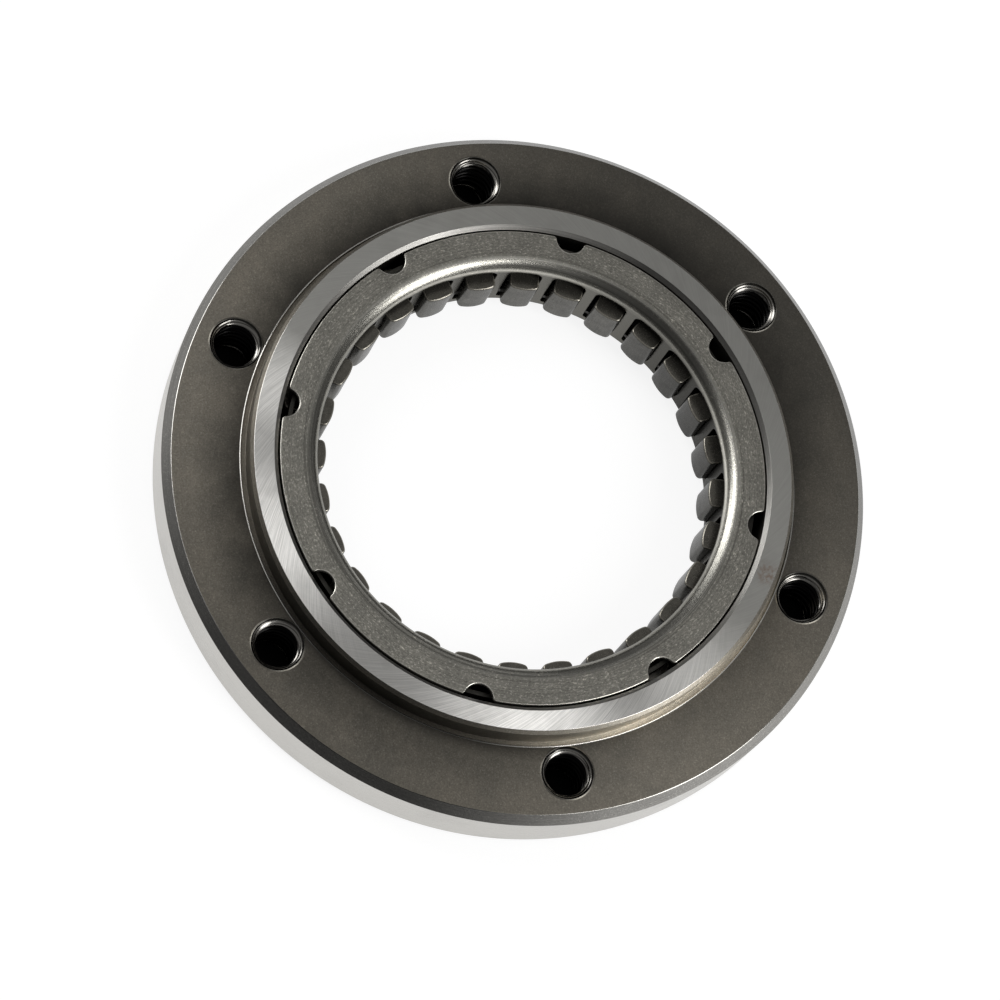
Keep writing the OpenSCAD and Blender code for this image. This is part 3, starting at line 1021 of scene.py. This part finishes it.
def sprag_outline():
    """Section of a sprag on its radial line along Y, counter-clockwise from above."""
    neck_in = tip_r + head_in_h
    neck_out = pivot_y + cam_out_r - head_out_h
    dip_in = math.degrees(math.asin((pivot_r - neck_in) / pocket_r))
    dip_out = math.degrees(math.asin((neck_out - pivot_r) / pocket_r))

    def body(side, a0, a1):
        """This side of the waist, kept within the straight taper between the two heads."""
        pocket = waist_x + side * (waist_w / 2 + pocket_r)
        lean = cam_offset + side * (head_out_w - head_in_w) / 2
        out = []
        for x, y in arc(pocket, pivot_r, pocket_r, a0, a1, 9):
            taper = side * head_in_w / 2 + lean * (y - neck_in) / (neck_out - neck_in)
            out.append((side * min(side * x, side * taper), y))
        return out

    out = sprag_head(0.0, tip_r + cam_in_r, cam_in_r, head_in_w, head_in_round, False)
    out += [(head_in_w / 2, neck_in)] + body(1, 180 + dip_in, 180 - dip_out)
    out += [(cam_offset + head_out_w / 2, neck_out)]
    out += sprag_head(cam_offset, pivot_y, cam_out_r, head_out_w, head_out_round, True)
    out += [(cam_offset - head_out_w / 2, neck_out)] + body(-1, dip_out, -dip_in)
    out += [(-head_in_w / 2, neck_in)]
    return [p for k, p in enumerate(out) if math.dist(p, out[k - 1]) > 0.01]


def inward_steps(outline):
    """For each point of a closed outline, the step that moves it inwards by one unit."""
    steps = []
    n = len(outline)
    for k in range(n):
        a, p, b = (Vector(outline[(k + j) % n]) for j in (-1, 0, 1))
        u, v = (p - a).normalized(), (b - p).normalized()
        nu, nv = Vector((-u.y, u.x)), Vector((-v.y, v.x))
        m = (nu + nv).normalized()
        steps.append(m / max(0.5, m.dot(nv)))
    return steps


def sprag_tree(points, material):
    """One sprag from its section: sides with rounded ends and two end faces, turned to its place."""
    sizes = {"Foot": sprag_z * MM, "Length": sprag_len * MM, "End round": sprag_end_round * MM, "Turn": 0.0}
    tree, net, start = geometry_tree("sprag", sizes)
    section, foot, length, end_round = (start[key] for key in ("Geometry", "Foot", "Length", "End round"))
    last_row = 7.0
    grid, share, row = unit_grid(net, points, last_row)
    column = net.math("FLOORED_MODULO", net.math("ROUND", net.times(share, points)), points)
    upper = net.math("GREATER_THAN", row, last_row / 2)
    lean = net.times(net.math("MINIMUM", row, net.minus(last_row, row)), math.pi / 6)
    drawn_in = net.times(end_round, net.minus(1.0, net.math("SINE", lean)))
    rise = net.times(end_round, net.minus(1.0, net.math("COSINE", lean)))
    climb = net.plus(net.times(upper, net.minus(length, rise)), net.times(net.minus(1.0, upper), rise))
    named = {"Name": "inward"}
    inward = net.add("GeometryNodeInputNamedAttribute", named, data_type="FLOAT_VECTOR").outputs[0]
    spot = sampled(net, section, position(net), column)
    where = net.vmath("ADD", spot, net.scaled(sampled(net, section, inward, column), drawn_in))
    where = net.vmath("ADD", where, net.vec(0.0, 0.0, net.plus(foot, climb)))
    together = net.tree.nodes.new("GeometryNodeJoinGeometry")
    shrink = net.scaled(inward, end_round)
    low, high = (
        set_positions(net, section, Offset=net.vmath("ADD", shrink, net.vec(0.0, 0.0, lift)))
        for lift in (foot, net.plus(foot, length))
    )
    under = net.add("GeometryNodeFlipFaces", {"Mesh": low}).outputs[0]
    for part in (set_positions(net, grid, Position=where), under, high):
        net.tree.links.new(part, together.inputs[0])
    turned_to = {"Geometry": together.outputs[0], "Rotation": net.vec(0.0, 0.0, start["Turn"])}
    end_tree(net, net.add("GeometryNodeTransform", turned_to).outputs[0], material)
    return tree


outline = sprag_outline()
blank = plain_mesh("sprag_section", [(x, y, 0.0) for x, y in outline], [tuple(range(len(outline)))])
inward = blank.attributes.new("inward", "FLOAT_VECTOR", "POINT")
for k, step in enumerate(inward_steps(outline)):
    inward.data[k].vector = (step.x, step.y, 0.0)
sprag_shape = sprag_tree(len(outline), sprag_steel)
for i in range(sprag_count):
    node = f"sprag_{i + 1:02d}"
    turn = math.radians(sprag_phase + i * 360.0 / sprag_count - 90.0)
    sprag = grow(f"{node}_finish", sprag_shape, blank.copy(), Turn=turn)
    finish_surface(sprag, 44.0)
    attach(sprag, node)
    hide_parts(node)

for node, material in (("outer_cage", shaded_outer_cage_steel), ("ribbon_spring", shaded_spring_steel)):
    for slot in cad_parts[node].material_slots:
        slot.material = material


def floor_material():
    """Plain pale floor that looks white, with a soft shadow. Right under the clutch it is painted dark as a
    shadow, but lets light up to the back face."""
    material, net = new_material("pale_floor")
    path = net.add("ShaderNodeLightPath").outputs
    seen = net.math("MAXIMUM", path["Is Camera Ray"], path["Is Glossy Ray"])
    seen = net.math("MAXIMUM", seen, path["Is Transmission Ray"])
    _, _, radius, angle = place(net)
    in_bore = net.math("LESS_THAN", radius, shoulder_r - 0.2)
    bare = net.math("MAXIMUM", in_bore, net.math("GREATER_THAN", radius, flange_r - 0.5))
    hole = nearest_centre(net, radius, angle, hole_count, hole_circle_r)
    solid = net.math("GREATER_THAN", hole, mouth_r + 0.1)
    pale = blend(net, seen, (0.9, 0.9, 0.9), (0.25, 0.25, 0.25))
    # Painted shadow: the floor is near black under the clutch, apart from the open bore and the outside.
    matt = net.add("ShaderNodeBsdfDiffuse", {"Color": blend(net, bare, (0.02, 0.02, 0.02), pale)})
    glow = {"Color": (1.0, 1.0, 1.0, 1.0), "Strength": net.times(net.times(seen, bare), 0.86)}
    glow = net.add("ShaderNodeEmission", glow)
    lit = net.add("ShaderNodeAddShader", {0: matt.outputs[0], 1: glow.outputs[0]})
    open_below = net.times(net.minus(solid, bare, clamp=True), net.minus(1.0, path["Is Camera Ray"]))
    from_below = net.add("ShaderNodeNewGeometry").outputs["Backfacing"]
    clear = net.add("ShaderNodeBsdfTransparent")
    close_material(net, mixed(net, net.math("MAXIMUM", from_below, open_below), lit, clear))
    return material


corners = [(-3, -3, 0), (3, -3, 0), (3, 3, 0), (-3, 3, 0)]
floor = stand("floor", plain_mesh("floor", corners, [(0, 1, 2, 3)], scale=1.0))
floor.location.z = -0.00005
floor.data.materials.append(floor_material())

world = bpy.data.worlds.new("studio")
world.use_nodes = True
world.node_tree.nodes["Background"].inputs["Color"].default_value = (1.0, 1.0, 1.0, 1.0)
world.node_tree.nodes["Background"].inputs["Strength"].default_value = 0.15
bpy.context.scene.world = world


def soft_lamp(name, azimuth, elevation, away, size, brightness):
    """Flat soft lamp aimed at the clutch from this side, this bright over its face."""
    data = bpy.data.lights.new(name, "AREA")
    data.shape = "RECTANGLE"
    data.size, data.size_y = size
    data.energy = brightness * math.pi * size[0] * size[1]
    lamp = stand(name, data)
    a, e = math.radians(azimuth), math.radians(elevation)
    lamp.location = Vector((math.cos(a) * math.cos(e), math.sin(a) * math.cos(e), math.sin(e))) * away
    lamp.rotation_euler = (-lamp.location).to_track_quat("-Z", "Y").to_euler()


soft_lamp("panel_right", 224.0, 36.0, 1.0, (0.42, 1.0), 4.5)
soft_lamp("panel_left", 42.0, 36.0, 1.0, (0.42, 1.0), 3.4)
soft_lamp("panel_far", 317.0, 30.0, 1.2, (0.9, 0.5), 0.4)
soft_lamp("panel_top", 317.0, 78.0, 1.4, (1.0, 0.75), 0.45)

# Camera fitted to the photograph: how far the clutch tilts, which way, and the picture's turn
tilt, toward, spin = 0.3772, 0.9398, 0.748
focal_length = 4302.4
picture_width = 1000.0
axis = Vector((math.sin(tilt) * math.cos(toward), math.sin(tilt) * math.sin(toward), math.cos(tilt)))
ref = Vector((math.cos(toward), math.sin(toward), 0.0))
u = (ref - axis * ref.dot(axis)).normalized()
v = axis.cross(u)
ex = math.cos(spin) * u + math.sin(spin) * v
ey = -math.sin(spin) * u + math.cos(spin) * v
turn = Matrix((ex, ey, axis)).transposed()
# In the fit the flange's front face is the origin, and a hundredth of the outside diameter the unit
shift = Vector((2.8513, 3.9749, -596.5856))
unit = flange_r / 50.0
centre = -(turn.transposed() @ shift) * unit + Vector((0.0, 0.0, flange_t))
camera = stand("camera", bpy.data.cameras.new("camera"))
camera.matrix_world = Matrix.Translation(centre * MM) @ turn.transposed().to_4x4()
camera.data.sensor_width = 36.0
camera.data.lens = focal_length * camera.data.sensor_width / picture_width
camera.data.clip_start = 0.01
camera.data.clip_end = 20.0
bpy.context.scene.camera = camera

bpy.context.scene.view_settings.view_transform = "Standard"
